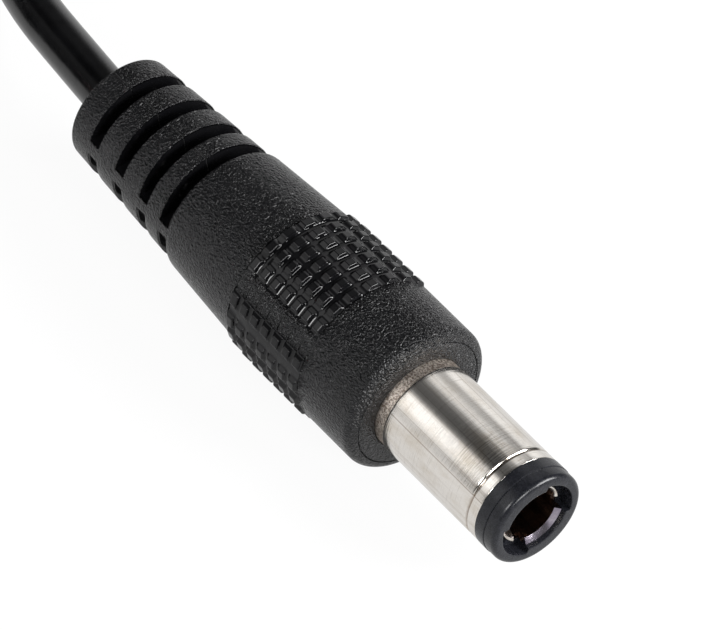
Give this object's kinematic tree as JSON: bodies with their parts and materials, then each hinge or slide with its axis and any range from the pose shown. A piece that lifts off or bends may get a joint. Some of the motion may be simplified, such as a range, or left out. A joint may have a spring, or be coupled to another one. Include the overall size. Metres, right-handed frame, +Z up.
{
  "type": "dc barrel plug",
  "caption": "Moulded DC power plug: a plated sleeve with a sprung centre socket, a knobbed grip, a slotted strain relief and a coiled two-core pigtail with a bared end.",
  "frame": {"origin": "on the barrel's axis, at the handle's flat front face, which is where the plug stops against a socket", "axes": "+X along the barrel towards its tip, +Z up as the plug lies on a table with its cable coiled behind it"},
  "size_m": [0.0789, 0.0286, 0.009],
  "materials": {
    "black_pvc": "fine leather grain",
    "nickel": "bright nickel plate on brass",
    "insulator": "charcoal, satin",
    "contact_metal": "nickel-plated brass spring contact",
    "washer_brass": "plain brass",
    "inner_plastic": "natural polyethylene",
    "solder": "tin solder",
    "copper": "tinned copper strands",
    "core_red": "red PVC",
    "core_black": "black PVC",
    "cable_pvc": "smooth black PVC",
    "tie_wire": "black twist tie"
  },
  "bodies": {
    "root": {"handle": "black_pvc", "barrel_sleeve": "nickel", "tip_insulator": "insulator", "centre_contact": "contact_metal", "contact_washer": "washer_brass", "sleeve_tag": "nickel", "inner_mould": "inner_plastic", "solder_centre": "solder", "solder_sleeve": "solder", "wire_red": "copper", "wire_black": "copper", "core_red": "core_red", "core_black": "core_black", "cable_jacket": "cable_pvc", "cord_lead": "cable_pvc", "cord_coil": "cable_pvc", "coil_tie": "tie_wire", "end_core_red": "core_red", "end_core_black": "core_black", "tinned_red": "copper", "tinned_black": "copper"}
  },
  "joints": []
}
